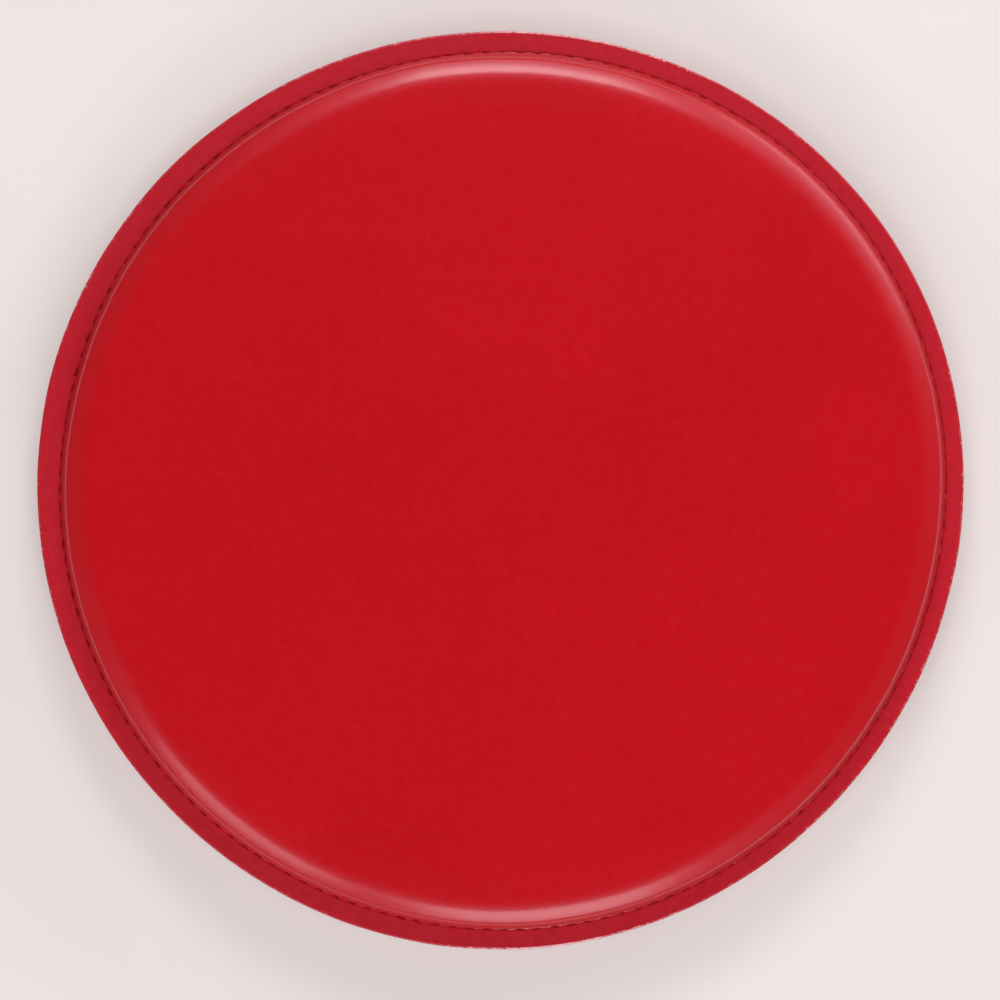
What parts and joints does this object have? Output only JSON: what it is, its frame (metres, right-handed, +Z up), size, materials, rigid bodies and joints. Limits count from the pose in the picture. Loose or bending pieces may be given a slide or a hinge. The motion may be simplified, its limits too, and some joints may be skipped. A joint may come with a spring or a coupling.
{
  "type": "paddle case",
  "caption": "Round clamshell case of moulded red leather for a table tennis bat, with a flat sewn rim, a zip round the wall under it and a leather hinge",
  "frame": {"origin": "centre of the case on the plane that it lies on", "axes": "+Z up through the front; +Y towards the hinge; +X right when seen from the opening side"},
  "size_m": [0.29, 0.29, 0.031],
  "materials": {
    "red_leather": "smooth semi-gloss aniline red leather",
    "foam": "closed-cell foam sheet",
    "board": "pressed fibre board",
    "lining": "brushed microfibre",
    "red_thread": "waxed polyester thread",
    "zip_tape": "woven polyester tape",
    "brass": "polished brass"
  },
  "bodies": {
    "back": {"back_panel": "red_leather", "back_foam": "foam", "back_board": "board", "back_lining": "lining", "wall_thread": "red_thread", "lower_zip_tape": "zip_tape", "lower_zip_teeth": "brass", "lower_zip_stop": "brass", "zip_bottom_stop": "brass", "hinge_panel": "red_leather"},
    "front": {"front_panel": "red_leather", "front_foam": "foam", "front_board": "board", "front_lining": "lining", "rim_backing": "red_leather", "rim_thread": "red_thread", "upper_zip_tape": "zip_tape", "upper_zip_teeth": "brass", "upper_zip_stop": "brass"},
    "slider": {"slider_body": "brass", "slider_crown": "brass"},
    "pull": {"pull_link": "brass", "pull_strap": "red_leather", "pull_thread": "red_thread"}
  },
  "joints": [
    {"name": "lid_hinge", "type": "hinge", "parent": "back", "child": "front", "pos_m": [0, 0.1366, 0.01025], "axis": [-1, 0, 0], "range_deg": [0, 100], "deforming": ["hinge_panel", "upper_zip_tape"]},
    {"name": "slider_run", "type": "hinge", "parent": "back", "child": "slider", "pos_m": [0, 0, 0.01025], "axis": [0, 0, -1], "range_deg": [0, 323.47], "deforming": ["upper_zip_teeth", "lower_zip_teeth"]},
    {"name": "pull_swing", "type": "hinge", "parent": "slider", "child": "pull", "pos_m": [0.04386, 0.1329, 0.01025], "axis": [0, 0, 1], "range_deg": [0, 190]}
  ]
}
